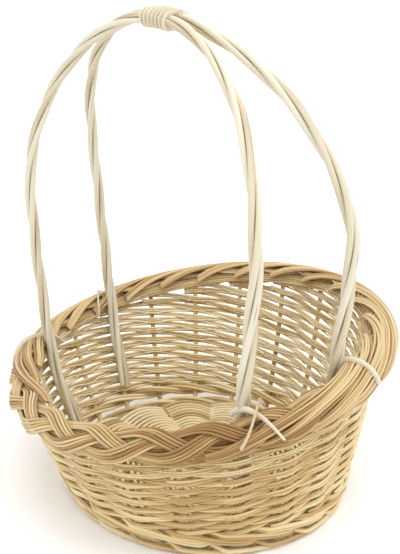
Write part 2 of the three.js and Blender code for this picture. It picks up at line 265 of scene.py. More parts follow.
def wall_point(s, angle, height, out=0.0):
    """The wall's middle line at a height over the base's middle, moved outward by out."""
    share = height / wall_height(s, angle)
    swell = share * (1 + s.belly * (1 - share))
    half_x = mix(s.base_half_x, s.rim_half_x, swell) + out
    half_y = mix(s.base_half_y, s.rim_half_y, swell) + out
    x = half_x * cos(angle) + s.base_shift_x * (1 - share) + s.middle_x
    y = half_y * sin(angle) + s.base_shift_y * (1 - share) + s.middle_y
    return x, y, height + s.base_middle


def wall_slope(s, angle, height):
    """How far the wall leans out for each step up."""
    low_x, low_y, _ = wall_point(s, angle, height)
    high_x, high_y, _ = wall_point(s, angle, height + MM)
    return ((high_x - low_x) * cos(angle) + (high_y - low_y) * sin(angle)) / MM


def square_to(slope):
    """How much longer a level step is than the distance square to the wall that it covers."""
    return root(slope * slope + 1)


def stake_angle(n):
    """Where stake n stands; halves give the middle of a gap between two stakes."""
    return (n - 0.25) * STAKE_STEP


low_side, high_side = (round(wall_height(sizes, angle) / MM) for angle in (math.pi, 0.0))
print("wall height at +X:", high_side, "mm, at -X:", low_side, "mm")

# %% [markdown]
# ## A tree that draws rods
#
# Nearly every piece is a family of rods: 21 stakes, the weaving rods, the rods of the plait. One builder makes a
# tree for each family. It lays out straight lines, one for each rod, or takes lines that plain Python drew, and then
# a rule says where point t of rod n belongs and how thick it is there. A circle swept along each line gives the
# rod's skin. Two things are kept on the skin for the material: grain, the place round and along the rod, and rod, its
# number. The alternative, a modelled rod that is copied and bent, would stretch its grain and need a new mesh for
# every length.


# %% Rod trees
def add_node(tree, kind, inputs=None, **settings):
    node = tree.nodes.new(kind)
    for name, value in settings.items():
        setattr(node, name, value)
    for name, value in (inputs or {}).items():
        feed(tree, node.inputs[name], value)
    return node


def start_tree(name, inputs):
    """A new tree with a named input for each size, and those inputs as fields."""
    tree = bpy.data.node_groups.new(name, "GeometryNodeTree")
    tree.interface.new_socket("Geometry", in_out="INPUT", socket_type="NodeSocketGeometry")
    for key, value in inputs.items():
        kind = "NodeSocketInt" if isinstance(value, int) else "NodeSocketFloat"
        socket = tree.interface.new_socket(key.replace("_", " ").capitalize(), in_out="INPUT", socket_type=kind)
        socket.default_value = value
    tree.interface.new_socket("Material", in_out="INPUT", socket_type="NodeSocketMaterial")
    tree.interface.new_socket("Geometry", in_out="OUTPUT", socket_type="NodeSocketGeometry")
    given = tree.nodes.new("NodeGroupInput")
    fields = {key: Field(tree, given.outputs[i + 1]) for i, key in enumerate(inputs)}
    return tree, given, SimpleNamespace(tree=tree, **fields)


def combine(tree, x, y, z):
    return add_node(tree, "ShaderNodeCombineXYZ", {"X": x, "Y": y, "Z": z})


def parts_of(tree, vector):
    node = add_node(tree, "ShaderNodeSeparateXYZ", {"Vector": vector})
    return [Field(tree, output) for output in node.outputs]


def chance(s, n, salt, low=0.0, high=1.0):
    """A random number for each rod n; another salt gives other numbers."""
    node = add_node(s.tree, "FunctionNodeRandomValue", {"ID": n, "Seed": s.seed + salt}, data_type="FLOAT")
    return mix(low, high, Field(s.tree, node.outputs[1]))


def ripple(s, vector, scale, salt=0.0):
    """Three smooth random numbers from -1 to 1 that change along a vector."""
    node = add_node(
        s.tree,
        "ShaderNodeTexNoise",
        {"Vector": vector, "W": salt, "Scale": scale, "Detail": 1.0},
        noise_dimensions="4D",
    )
    return [(part - 0.5) * 2 for part in parts_of(s.tree, node.outputs["Color"])]


FAMILY = {"rods": 1, "points": 2, "sides": 10, "height": 1.0, "split": -1.0, "unevenness": 0.0, "seed": 1}


def rod_tree(name, inputs, place, thick, from_path=False, flat=False):
    tree, given, s = start_tree(name, {**FAMILY, **inputs})
    if from_path:
        line = add_node(tree, "GeometryNodeMeshToCurve", {"Mesh": given.outputs[0]})
    else:
        line = add_node(tree, "GeometryNodeCurvePrimitiveLine")
    line = add_node(tree, "GeometryNodeResampleCurve", {"Curve": line, "Count": s.points})
    starts = add_node(tree, "GeometryNodePoints", {"Count": s.rods})
    lines = add_node(tree, "GeometryNodeInstanceOnPoints", {"Points": starts, "Instance": line})
    lines = add_node(tree, "GeometryNodeRealizeInstances", {"Geometry": lines})
    index = Field(tree, add_node(tree, "GeometryNodeInputIndex").outputs[0])
    n = whole((index + 0.5) / s.points)
    t = (index - n * s.points) / (s.points - 1)
    s.here = parts_of(tree, add_node(tree, "GeometryNodeInputPosition"))
    s.along = parts_of(tree, add_node(tree, "GeometryNodeInputTangent"))
    facts = add_node(tree, "GeometryNodeCaptureAttribute", {"Geometry": lines})
    for key, value in (("rod", n), ("thick", thick(s, n, t))):
        facts.capture_items.new("FLOAT", key)
        feed(tree, facts.inputs[key], value)
    placed = add_node(
        tree, "GeometryNodeSetPosition", {"Geometry": facts, "Position": combine(tree, *place(s, n, t))}
    )
    spot = add_node(tree, "GeometryNodeInputPosition")
    sway = [part * s.unevenness for part in ripple(s, spot, 14.0)]
    placed = add_node(tree, "GeometryNodeSetPosition", {"Geometry": placed, "Offset": combine(tree, *sway)})
    turned = placed
    if flat:
        outward = add_node(tree, "GeometryNodeInputNamedAttribute", {"Name": "outward"}, data_type="FLOAT_VECTOR")
        turned = add_node(tree, "GeometryNodeSetCurveNormal", {"Curve": placed, "Normal": outward}, mode="FREE")
    skin = sweep(s, turned, facts)
    finish_tree(tree, given, skin)
    return tree


def sweep(s, lines, facts):
    """Sweeps a round, flattened or split section along the lines."""
    tree = s.tree
    measured = add_node(tree, "GeometryNodeCaptureAttribute", {"Geometry": lines})
    measured.capture_items.new("FLOAT", "length")
    feed(tree, measured.inputs["length"], add_node(tree, "GeometryNodeSplineParameter").outputs["Length"])
    ring = add_node(tree, "GeometryNodeCurvePrimitiveCircle", {"Resolution": s.sides, "Radius": 1.0})
    kept = add_node(tree, "GeometryNodeCaptureAttribute", {"Geometry": ring})
    kept.capture_items.new("VECTOR", "ring")
    feed(tree, kept.inputs["ring"], add_node(tree, "GeometryNodeInputPosition"))
    x, y, _ = parts_of(tree, add_node(tree, "GeometryNodeInputPosition"))
    section = combine(tree, x, most(y, s.split) * s.height, 0.0)
    ring = add_node(tree, "GeometryNodeSetPosition", {"Geometry": kept, "Position": section})
    skin = add_node(
        tree,
        "GeometryNodeCurveToMesh",
        {"Curve": measured, "Profile Curve": ring, "Scale": facts.outputs["thick"], "Fill Caps": True},
    )
    ring_x, ring_y, _ = parts_of(tree, kept.outputs["ring"])
    grain = combine(tree, ring_x, ring_y, Field(tree, measured.outputs["length"]))
    skin = add_node(
        tree,
        "GeometryNodeStoreNamedAttribute",
        {"Geometry": skin, "Name": "grain", "Value": grain},
        data_type="FLOAT_VECTOR",
    )
    return add_node(
        tree,
        "GeometryNodeStoreNamedAttribute",
        {"Geometry": skin, "Name": "rod", "Value": facts.outputs["rod"]},
        data_type="FLOAT",
    )


def finish_tree(tree, given, skin):
    """Smooth sides, flat cut ends, the material, and no instances left."""
    corners = add_node(tree, "GeometryNodeInputMeshFaceNeighbors")
    is_side = add_node(tree, "FunctionNodeCompare", data_type="INT", operation="LESS_THAN")
    feed(tree, is_side.inputs[2], corners.outputs["Vertex Count"])
    feed(tree, is_side.inputs[3], 5)
    smooth = add_node(tree, "GeometryNodeSetShadeSmooth", {"Geometry": skin, "Shade Smooth": is_side})
    real = add_node(tree, "GeometryNodeRealizeInstances", {"Geometry": smooth})
    finished = add_node(
        tree, "GeometryNodeSetMaterial", {"Geometry": real, "Material": given.outputs["Material"]}
    )
    out = tree.nodes.new("NodeGroupOutput")
    tree.links.new(finished.outputs[0], out.inputs[0])


def grow(name, tree, material, values=None, path=None):
    """Runs a tree once and keeps its result as a plain mesh object."""
    seed_mesh = path or bpy.data.meshes.new(name + "_path")
    maker = bpy.data.objects.new(name + "_maker", seed_mesh)
    scene.collection.objects.link(maker)
    modifier = maker.modifiers.new("rods", "NODES")
    modifier.node_group = tree
    chosen = {**(values or {}), "Material": material}
    for item in tree.interface.items_tree:
        if item.item_type == "SOCKET" and item.in_out == "INPUT" and item.name in chosen:
            modifier[item.identifier] = chosen[item.name]
    evaluated = maker.evaluated_get(bpy.context.evaluated_depsgraph_get())
    mesh = bpy.data.meshes.new_from_object(evaluated)
    mesh.name = name
    bpy.data.objects.remove(maker)
    piece = bpy.data.objects.new(name, mesh)
    scene.collection.objects.link(piece)
    triangles = sum(len(face.vertices) - 2 for face in mesh.polygons)
    print(name, "has", triangles, "triangles")
    return piece


def settle(piece, nodes):
    """The piece moves with the basket and stands for these CAD nodes."""
    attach(piece, "root")
    if nodes:
        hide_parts(*nodes)


def nodes_named(*starts):
    return sorted(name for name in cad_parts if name.startswith(starts))


print("stake nodes:", len(nodes_named("stake_")))

# %% [markdown]
# ## Willow
#
# Peeled willow is pale and satin, with fine streaks along each rod, and no two rods have the same tone: some are
# cream, some golden, some brown where the bark's sap stained them. The material reads the grain kept on the skin.
# Noise stretched along the rod gives the streaks, a slow noise gives patches, white noise on the rod's number
# gives each rod its own tone, and small dark scars sit where buds were. Two of the materials also carry painted
# shade: they turn browner round one place at the front left, the side away from the key light.


# %% Willow materials
def ramp(tree, fac, stops):
    node = add_node(tree, "ShaderNodeValToRGB")
    feed(tree, node.inputs["Fac"], fac)
    for i, (position, colour) in enumerate(stops):
        stop = node.color_ramp.elements[i] if i < 2 else node.color_ramp.elements.new(position)
        stop.position = position
        stop.color = (*colour, 1)
    return node.outputs["Color"]


def noise(tree, vector, scale, detail=3.0, salt=0.0):
    node = add_node(
        tree,
        "ShaderNodeTexNoise",
        {"Vector": vector, "W": salt, "Scale": scale, "Detail": detail},
        noise_dimensions="4D",
    )
    return Field(tree, node.outputs["Fac"])


def blend(tree, share, under, over, way="MIX"):
    node = add_node(tree, "ShaderNodeMix", data_type="RGBA", blend_type=way)
    feed(tree, node.inputs["Factor"], share)
    feed(tree, node.inputs[6], under)
    feed(tree, node.inputs[7], over)
    return node.outputs[2]


def willow(name, pale, golden, brown, roughness=0.5, streak=0.35, brown_share=0.14, painted_shade=None):
    """Peeled willow from brown over golden to pale; a patch of painted shade has a spot, a reach in metres and a
    depth.
    """
    material = bpy.data.materials.new(name)
    material.use_nodes = True
    tree = material.node_tree
    shader = tree.nodes["Principled BSDF"]
    grain = add_node(tree, "ShaderNodeAttribute", attribute_name="grain").outputs["Vector"]
    number = Field(tree, add_node(tree, "ShaderNodeAttribute", attribute_name="rod").outputs["Fac"])
    round_x, round_y, length = parts_of(tree, grain)
    white = add_node(tree, "ShaderNodeTexWhiteNoise", {"W": number}, noise_dimensions="1D")
    own = Field(tree, white.outputs["Value"])
    fine = combine(tree, round_x * 3.0, round_y * 3.0, length * 26)
    slow = combine(tree, round_x * 0.5, round_y * 0.5, length * 12)
    streaks = noise(tree, fine, 1.6, 4.0, number * 7.3)
    patches = noise(tree, slow, 1.0, 2.0, number * 3.1)
    tone = clamp(own * 0.62 + (patches - 0.5) * 1.1 + (streaks - 0.5) * streak + 0.19)
    # Painted shade: the tone is pushed towards brown near one spot, darkest there and fading out over the reach.
    if painted_shade:
        place = add_node(tree, "ShaderNodeTexCoord").outputs["Object"]
        away = add_node(tree, "ShaderNodeVectorMath", {"Vector": place}, operation="DISTANCE")
        away.inputs[1].default_value = painted_shade.spot
        tone = clamp(tone - clamp(1.1 - Field(tree, away.outputs["Value"]) / painted_shade.reach) * painted_shade.depth)
    body = ramp(tree, tone, [(brown_share, brown), (brown_share + 0.3, golden), (0.85, pale)])
    line = clamp((streaks - 0.6) * 5)
    body = blend(tree, line * 0.35, body, (*brown, 1), "MULTIPLY")
    spots = add_node(
        tree,
        "ShaderNodeTexVoronoi",
        {"Vector": combine(tree, round_x * 0.8, round_y * 0.8, length * 11), "W": number, "Scale": 1.0},
        voronoi_dimensions="4D",
    )
    bud = clamp((0.13 - Field(tree, spots.outputs["Distance"])) * 16)
    body = blend(tree, bud * 0.75, body, (*(c * 0.45 for c in brown), 1))
    feed(tree, shader.inputs["Base Color"], body)
    feed(tree, shader.inputs["Roughness"], clamp((0.5 - streaks) * 0.3 + roughness, 0.2, 0.95))
    bump = add_node(tree, "ShaderNodeBump", {"Strength": 0.35, "Distance": 0.0006, "Height": streaks - bud * 0.5})
    feed(tree, shader.inputs["Normal"], bump)
    shader.inputs["Specular IOR Level"].default_value = 0.4
    return material


# Painted shade on the wall and on the border, at the front left, the side away from the key light.
WALL_PAINTED_SHADE = SimpleNamespace(spot=(-0.12, -0.13, 0.05), reach=0.17, depth=0.3)
BORDER_PAINTED_SHADE = SimpleNamespace(spot=(-0.10, -0.14, 0.11), reach=0.12, depth=0.5)
WEAVE_WILLOW = willow("weave_willow", (0.82, 0.73, 0.48), (0.72, 0.57, 0.30), (0.48, 0.31, 0.12), painted_shade=WALL_PAINTED_SHADE)
STAKE_WILLOW = willow("stake_willow", (0.68, 0.54, 0.28), (0.56, 0.40, 0.17), (0.38, 0.23, 0.08))
BORDER_WILLOW = willow("border_willow", (0.68, 0.55, 0.32), (0.54, 0.38, 0.17), (0.30, 0.16, 0.05), painted_shade=BORDER_PAINTED_SHADE)
HANDLE_WILLOW = willow("handle_willow", (0.70, 0.66, 0.53), (0.63, 0.56, 0.41), (0.44, 0.33, 0.18), brown_share=0.02)
SPLIT_WILLOW = willow("split_willow", (0.74, 0.70, 0.56), (0.68, 0.61, 0.45), (0.48, 0.36, 0.20), brown_share=0.04)
print("materials:", [m.name for m in bpy.data.materials if m.name.endswith("willow")])

# %% [markdown]
# ## Base
#
# The base is begun with a cross: four sticks are split and three are threaded through them. Their ends are fanned
# out like spokes, and two rods are twined round them from the middle to the edge, one going over each spoke while
# the other goes under. Sticks follow lines that plain Python lays out. The twined rods need no lines: the angle
# alone says where they are, a cosine of seven times the angle takes them over and under the fourteen spokes.

# %% Base sticks
STICK_RADIUS = 3 * MM
SPOKES = 14
CROSSING_SHARE = 38 / 130
STICK_END = 3 * sizes.stake_radius + 5.3 * MM


def path_mesh(name, lines, outward=None):
    """A mesh of edges along each line, for a tree to follow."""
    points, edges = [], []
    for line in lines:
        first = len(points)
        points += [tuple(point) for point in line]
        edges += [(i, i + 1) for i in range(first, len(points) - 1)]
    mesh = bpy.data.meshes.new(name)
    mesh.from_pydata(points, edges, [])
    kept = mesh.attributes.new("outward", "FLOAT_VECTOR", "POINT")
    for i, direction in enumerate(outward or [(0, 0, 1)] * len(points)):
        kept.data[i].vector = direction
    return mesh


def smooth_line(marks, steps=24):
    """A centripetal Catmull-Rom line through the marks."""
    marks = [marks[0] * 2 - marks[1], *marks, marks[-1] * 2 - marks[-2]]
    line = []
    for a, b, c, d in zip(marks, marks[1:], marks[2:], marks[3:]):
        ta, tb = 0.0, (b - a).length ** 0.5
        tc = tb + (c - b).length ** 0.5
        td = tc + (d - c).length ** 0.5
        for i in range(steps):
            t = mix(tb, tc, i / steps)
            ab = a.lerp(b, (t - ta) / (tb - ta))
            bc = b.lerp(c, (t - tb) / (tc - tb))
            cd = c.lerp(d, (t - tc) / (td - tc))
            abc = ab.lerp(bc, (t - ta) / (tc - ta))
            bcd = bc.lerp(cd, (t - tb) / (td - tb))
            line.append(abc.lerp(bcd, (t - tb) / (tc - tb)))
    return line + [marks[-2]]


def spoke_point(end, share):
    """A place on a spoke, share 0 being the base's middle and 1 the stick's end."""
    angle = 2 * math.pi * end / SPOKES
    reach = Vector(wall_point(sizes, angle, 0.0, -STICK_END))
    middle = Vector((MIDDLE_X + BASE_SHIFT_X, MIDDLE_Y + BASE_SHIFT_Y, sizes.base_middle))
    return middle.lerp(reach, share)


def stick_line(number, count, first_end, turned, level):
    """One stick from end to end: a straight stretch through the cross, fanned out to a spoke at each end."""
    side = number - (count - 1) / 2
    spacing = 2 * STICK_RADIUS + sizes.rod_gap
    half = (count + 1) / 2 * spacing * 1.4

    def crossing(sign):
        x, y = (side * spacing, sign * half) if turned else (sign * half, side * spacing)
        return Vector((MIDDLE_X + BASE_SHIFT_X + x, MIDDLE_Y + BASE_SHIFT_Y + y, sizes.base_middle + level))

    near, far = first_end - side, first_end + SPOKES / 2 + side
    there, back = (near, far) if turned else (first_end + side, first_end + SPOKES / 2 - side)
    return [
        spoke_point(there, 1), spoke_point(there, CROSSING_SHARE), crossing(1),
        crossing(-1), spoke_point(back, CROSSING_SHARE), spoke_point(back, 1),
    ]


def plain_place(s, n, t):
    return s.here


def even_thick(s, n, t):
    return s.rod_radius * chance(s, n, 3, 0.95, 1.02)


stick_level = STICK_RADIUS + sizes.rod_gap / 2
stick_lines = [smooth_line(stick_line(k, 4, 3.5, True, stick_level), 10) for k in range(4)]
stick_lines += [smooth_line(stick_line(k, 3, 0, False, -stick_level), 10) for k in range(3)]
along_tree = rod_tree("rods_along_lines", {"rod_radius": STICK_RADIUS}, plain_place, even_thick, from_path=True)
stick_path = path_mesh("stick_lines", stick_lines)
sticks = grow("base_sticks", along_tree, STAKE_WILLOW, {"Points": 60, "Sides": 12, "Seed": 15}, stick_path)
settle(sticks, nodes_named("base_stick", "cross_stick"))

# %% Base weave
BASE_ROUNDS = 15
BASE_PIECES = 10
BASE_ROD = 1.9 * MM


def twine_place(s, n, t):
    piece = whole(n / 2)
    lane = n - piece * 2
    walk = clamp((piece + mix(-0.02, 1.02, t)) / s.pieces)
    angle = walk * s.rounds * (2 * math.pi)
    phase = angle * (SPOKES / 2) + lane * math.pi
    share = mix(s.inner, s.outer, walk)
    own = ripple(s, combine(s.tree, walk * 90, lane * 5.0, 0.0), 1.0, 5.0)
    aside = sin(phase) * s.rod_radius * 0.8 + own[0] * s.wander
    x = (s.base_half_x * share + aside) * cos(angle) + s.base_shift_x + s.middle_x
    y = (s.base_half_y * share + aside) * sin(angle) + s.base_shift_y + s.middle_y
    return x, y, s.base_middle + cos(phase) * (s.base_middle - s.rod_radius)


twine_inputs = {
    **SIZES,
    "pieces": BASE_PIECES,
    "rounds": BASE_ROUNDS,
    "inner": CROSSING_SHARE,
    "outer": 1 - 3 * sizes.stake_radius / sizes.base_half_x,
    "rod_radius": BASE_ROD,
    "wander": 0.25 * MM,
}
twine_tree = rod_tree("twining", twine_inputs, twine_place, lambda s, n, t: s.rod_radius * mix(1.0, 0.97, t))
base_weave = grow(
    "base_weave", twine_tree, WEAVE_WILLOW, {"Rods": 2 * BASE_PIECES, "Points": 170, "Sides": 8, "Seed": 16}
)
settle(base_weave, nodes_named("base_weave"))

# %% [markdown]
# ## Stakes
#
# Each stake is a rod pushed into the base beside the sticks. It is kinked at the base's edge and bent up, and its
# top goes into the border. The rule walks along the rod: below zero it lies in the base, above zero it climbs the
# wall, and a square root rounds the kink.

# %% Stakes
STAKE_GRIP = 38 * MM
STAKE_OVER = 5 * MM


def stake_place(s, n, t):
    angle = stake_angle(n)
    top = wall_height(s, angle) + s.stake_over
    walk = mix(-s.stake_grip, top, t)
    bend = root(walk * walk + s.kink * s.kink)
    return wall_point(s, angle, (walk + bend) / 2, (walk - bend) / 2)


def stake_thick(s, n, t):
    return s.stake_radius * (1.04 - t * 0.14) * chance(s, n, 3, 0.93, 1.03)


stake_inputs = {**SIZES, "stake_over": STAKE_OVER, "stake_grip": STAKE_GRIP, "kink": 4 * MM}
stake_tree = rod_tree("stakes", stake_inputs, stake_place, stake_thick)
stakes = grow("stakes", stake_tree, STAKE_WILLOW, {"Rods": STAKES, "Points": 40, "Sides": 12, "Seed": 11})
settle(stakes, nodes_named("stake_"))

# %% [markdown]
# ## Waling
#
# The foot of the wall is locked by waling: three strands, each in front of two stakes and behind one, roped over
# one another. The first round sits in the corner under the kinks, of single rods. The second is thicker, of rods
# laid in pairs. A cosine takes a strand behind its stake and a sine carries it over the others.

# %% Waling
PAIR_HALF_WIDTH = 2.1 * MM
PAIR_HALF_HEIGHT = 3.5 * MM
WALE_RADIUS = 2.3 * MM
SECOND_ROUND = 2 * (WALE_RADIUS + PAIR_HALF_HEIGHT + sizes.rod_gap)


def wale_place(s, n, t):
    strand = whole(n / s.laid)
    side = n - strand * s.laid - (s.laid - 1) / 2
    walk = t * STAKES
    phase = (walk + strand) * (2 * math.pi / 3)
    clear = s.stake_radius + s.half_width + s.rod_gap
    behind = most(cos(phase), 0.0)
    out = clear - behind * (clear * 2 + s.corner_slack)
    over = (s.half_height + s.rod_gap / 2) * sin(phase) * 1.155 + side * s.laid_apart
    angle = stake_angle(walk)
    slope = mix(1.0, wall_slope(s, angle, s.round_height), s.on_the_wall)
    outward = (out + over * slope) / square_to(slope)
    upward = (over - out * slope) / square_to(slope)
    x, y, z = wall_point(s, angle, s.round_height, outward)
    return x, y, z + upward


def wale_thick(s, n, t):
    return s.rod_radius * chance(s, n, 3, 0.92, 1.02)


wale_inputs = {
    **SIZES,
    "laid": 1,
    "laid_apart": 0.0,
    "half_width": WALE_RADIUS,
    "half_height": WALE_RADIUS,
    "rod_radius": WALE_RADIUS,
    "round_height": 0.0,
    "on_the_wall": 0.0,
    "corner_slack": 1.6 * MM,
}
wale_tree = rod_tree("waling", wale_inputs, wale_place, wale_thick)
wale_foot = grow(
    "waling_foot", wale_tree, WEAVE_WILLOW, {"Rods": 3, "Points": STAKES * 10 + 1, "Sides": 10, "Seed": 21}
)
settle(wale_foot, nodes_named("upset_1"))
wale_wall = grow(
    "waling_wall",
    wale_tree,
    WEAVE_WILLOW,
    {
        "Rods": 6,
        "Laid": 2,
        "Laid apart": 3.4 * MM,
        "Half width": PAIR_HALF_WIDTH,
        "Half height": PAIR_HALF_HEIGHT,
        "Rod radius": 1.8 * MM,
        "Round height": SECOND_ROUND,
        "On the wall": 1.0,
        "Corner slack": 0.0,
        "Points": STAKES * 10 + 1,
        "Sides": 10,
        "Seed": 22,
    },
)
settle(wale_wall, nodes_named("upset_2"))

# %% [markdown]
# ## The woven wall
#
# The photograph's rods don't run level: each climbs one row from one stake to the next. That is French randing. A
# rod is started at every stake, all of them are worked up together, each in front of one stake and behind the next,
# and the wall grows level though every rod in it slants. Here three thin rods are laid in as one. At a stake they
# stand one over the other, so the band is tall; between stakes the middle one is squeezed out and the band closes
# to the height of a row. The rows keep one height all round, and the mouth isn't level, so the high side has more
# of them. Plain Python works out where each slanting line of rods runs, in stakes and rows, and cuts it into rods
# of a real length. The tree then takes a line's own coordinates as stake, lane and first stake.

# %% Weavers
ROW_HEIGHT = 4.9 * MM
WEAVE_START = SECOND_ROUND + PAIR_HALF_HEIGHT + sizes.rod_gap
ROD_STROKES = 12
ROD_PAST_STAKE = 0.24
MOST_ROWS = 45
LANES = 3


def row_height(row):
    return WEAVE_START + ROW_HEIGHT * (row + 0.5)


def slanting_lines():
    """For each stake, the stretches of the line that climbs from it where the wall is high enough."""
    for first in range(STAKES):
        rows = [
            row
            for row in range(MOST_ROWS)
            if row_height(row) < wall_height(sizes, stake_angle(first + row)) + 2 * MM
        ]
        start = rows[0]
        for row, following in zip(rows, rows[1:] + [None]):
            if following != row + 1:
                yield first, start, row
                start = following


def weaver_lines():
    """Every rod as a line in stakes, lane and first stake."""
    lines = []
    for first, low, high in slanting_lines():
        for lane in range(LANES):
            cut = low
            while cut < high:
                share = ROD_STROKES if cut > low else ROD_STROKES - 4 * ((lane + first) % 3)
                end = min(cut + share, high)
                ends = (cut - ROD_PAST_STAKE, end + ROD_PAST_STAKE)
                lines.append([(first + row, lane, first) for row in ends])
                cut = end
    return lines


def weaver_place(s, n, t):
    walk, lane, first = s.here
    row = walk - first
    angle = stake_angle(walk)
    radius = s.rod_radius
    height = s.weave_start + s.row_height * (row + 0.5)
    crossing = cos(row * math.pi)
    upright = crossing * crossing
    crossing = crossing * (1 - s.straightness * (1 - upright))
    side = lane - 1
    level_up = s.row_height / 2 - radius
    up = side * mix(level_up, radius * 2, upright)
    squeezed = (1 - distance_from_zero(side)) * (1 - upright) * root(radius * radius * 4 - level_up * level_up)
    ending = clamp((t - 0.95) * 25) * radius * 2.1
    own = ripple(s, combine(s.tree, walk * 0.8, lane * 5.0, first * 3.0), 1.0, 4.0)
    height = height + up + own[0] * s.wander
    out = crossing * (s.stake_radius + radius + s.rod_gap) + squeezed * s.squeeze - ending + own[1] * s.wander
    return wall_point(s, angle, height, out * square_to(wall_slope(s, angle, height)))


def weaver_thick(s, n, t):
    return s.rod_radius * mix(1.06, 0.9, t) * chance(s, n, 3, 0.92, 1.05)


weaver_inputs = {
    **SIZES,
    "weave_start": WEAVE_START,
    "row_height": ROW_HEIGHT,
    "rod_radius": 1.12 * MM,
    "squeeze": 0.8,
    "straightness": 0.55,
    "wander": 0.35 * MM,
}
weaver_tree = rod_tree("weavers", weaver_inputs, weaver_place, weaver_thick, from_path=True)
weave_lines = weaver_lines()
print(len(weave_lines), "weaving rods")
weavers = grow(
    "weavers",
    weaver_tree,
    WEAVE_WILLOW,
    {"Points": 76, "Sides": 8, "Seed": 31},
    path_mesh("weave_lines", weave_lines),
)
settle(weavers, nodes_named("weaver_"))

# %% [markdown]
# ## Border
#
# The stakes' tops and added rods are plaited into a wide rope that is bent over the edge. It has three strands, and
# each is a bundle of thin rods that lie side by side. A strand swings to and fro round the bend as a cosine, and
# dips under and over the others as a sine of twice the pace. Each rod of a bundle is moved sideways, square to its
# own strand, so the bundle turns as a flat ribbon would. Under the plait run filling rods, and over three quarters
# of it, from the front foot round to the back, further bundles are laid at a low slope, each tucked in beside the
# next, so that only the left part shows the plait.

# %% Border
BORDER_REPEATS = 7
STRAND_RODS = 5


def border_point(s, angle, up, depth):
    """A place in the border: up turns round its bend, and depth is measured from the plait's middle."""
    reach = s.plait_radius + depth
    x, y, z = wall_point(s, angle, wall_height(s, angle), s.bend_out + reach * cos(up))
    return x, y, z + reach * sin(up) - s.bend_down


def bundle(s, n):
    """Which bundle rod n belongs to, and how far it lies to one side of the bundle's middle, in rods."""
    number = whole(n / s.in_bundle)
    return number, n - number * s.in_bundle - (s.in_bundle - 1) / 2


def border_place(s, n, t):
    strand, side = bundle(s, n)
    angle = t * 2 * math.pi
    phase = angle * s.repeats + strand * (2 * math.pi / 3)
    up = s.plait_middle + s.plait_swing * cos(phase)
    depth = s.layer * sin(phase * 2)
    slope = -(s.plait_swing * s.repeats * s.plait_radius / s.rim_half_x) * sin(phase)
    across = root(slope * slope + 1)
    turning = combine(s.tree, cos(angle) * 4, sin(angle) * 4, n * 3.0)
    own = ripple(s, turning, 1.0, 6.0)
    shift = side * s.rod_apart + own[0] * s.wander
    angle = angle - slope / across * shift / s.rim_half_x
    up = up + shift / across / s.plait_radius
    return border_point(s, angle, up, depth + own[1] * s.wander)


def border_thick(s, n, t):
    return s.rod_radius * chance(s, n, 3, 0.88, 1.05)


border_inputs = {
    **SIZES,
    "in_bundle": STRAND_RODS,
    "repeats": BORDER_REPEATS,
    "plait_radius": 16 * MM,
    "plait_middle": math.radians(42),
    "plait_swing": math.radians(50),
    "layer": 2.6 * MM,
    "bend_out": 1 * MM,
    "bend_down": 3 * MM,
    "rod_apart": 2.75 * MM,
    "rod_radius": 1.4 * MM,
    "wander": 0.5 * MM,
}
border_tree = rod_tree("border", border_inputs, border_place, border_thick)
border = grow(
    "border",
    border_tree,
    BORDER_WILLOW,
    {"Rods": 3 * STRAND_RODS, "Points": BORDER_REPEATS * 28 + 1, "Sides": 10, "Seed": 41},
)
settle(border, nodes_named("border_strand"))


# %% Filling rods under the plait
def core_place(s, n, t):
    """Rods that run round under the plait, from its outer edge over the top and down inside."""
    up = mix(s.first_up, s.last_up, n / (s.rods - 1))
    angle = t * 2 * math.pi
    own = ripple(s, combine(s.tree, cos(angle) * 3, sin(angle) * 3, n * 3.0), 1.0, 9.0)
    return border_point(s, angle, up + own[0] * 0.09, own[1] * s.wander - s.core_depth)


core_inputs = {
    **border_inputs,
    "first_up": math.radians(-8),
    "last_up": math.radians(150),
    "core_depth": 5.4 * MM,
}
core_tree = rod_tree("border_core", core_inputs, core_place, border_thick)
border_core = grow(
    "border_core", core_tree, BORDER_WILLOW, {"Rods": 12, "Points": 200, "Sides": 8, "Seed": 43}
)
settle(border_core, [])


# %% Rods laid over the plait
LAID_FROM = math.radians(-102)
LAID_TO = math.radians(132)
LAID_BUNDLES = 17
LAID_RODS = 4
LAID_DEPTH = 5.6 * MM


def laid_place(s, n, t):
    """Bundles that climb slowly round the border; each starts under the outer edge and ends inside."""
    number, side = bundle(s, n)
    first = mix(s.laid_from, s.laid_to, number / (s.bundles - 1))
    angle = first + (t - 0.5) * s.laid_span
    own = ripple(s, combine(s.tree, t * 2.5, n * 3.0, number * 1.7), 1.0, 2.0)
    climb = t + own[0] * 0.04 + sin(t * 2 * math.pi) * 0.05
    up = mix(s.first_up, s.last_up, climb) + side * s.rod_apart / (s.plait_radius + s.laid_depth)
    tuck = power(most(distance_from_zero(t * 2 - 1), 0.001), 8.0)
    return border_point(s, angle, up, s.laid_depth + own[1] * s.wander - tuck * s.tuck)


laid_inputs = {
    **border_inputs,
    "in_bundle": LAID_RODS,
    "bundles": LAID_BUNDLES,
    "laid_from": LAID_FROM,
    "laid_to": LAID_TO,
    "laid_span": math.radians(62),
    "laid_depth": LAID_DEPTH,
    "first_up": math.radians(-14),
    "last_up": math.radians(128),
    "tuck": 6 * MM,
}
laid_tree = rod_tree("border_laid", laid_inputs, laid_place, border_thick)
border_laid = grow(
    "border_laid",
    laid_tree,
    BORDER_WILLOW,
    {"Rods": LAID_RODS * LAID_BUNDLES, "Points": 70, "Sides": 10, "Seed": 45},
)
settle(border_laid, [])

# %% [markdown]
# ## Handle
#
# Two hoops, each of three tapered rods roped together. Plain Python draws the line that each hoop follows, from
# deep inside the wall up and over to the other side. A tree takes that line and turns the rods about it. Their
# thick butts stand at the front, their tips at the back. The photograph's legs are slimmer at the foot than the
# CAD's, so the butts are drawn thinner here, on the same line.

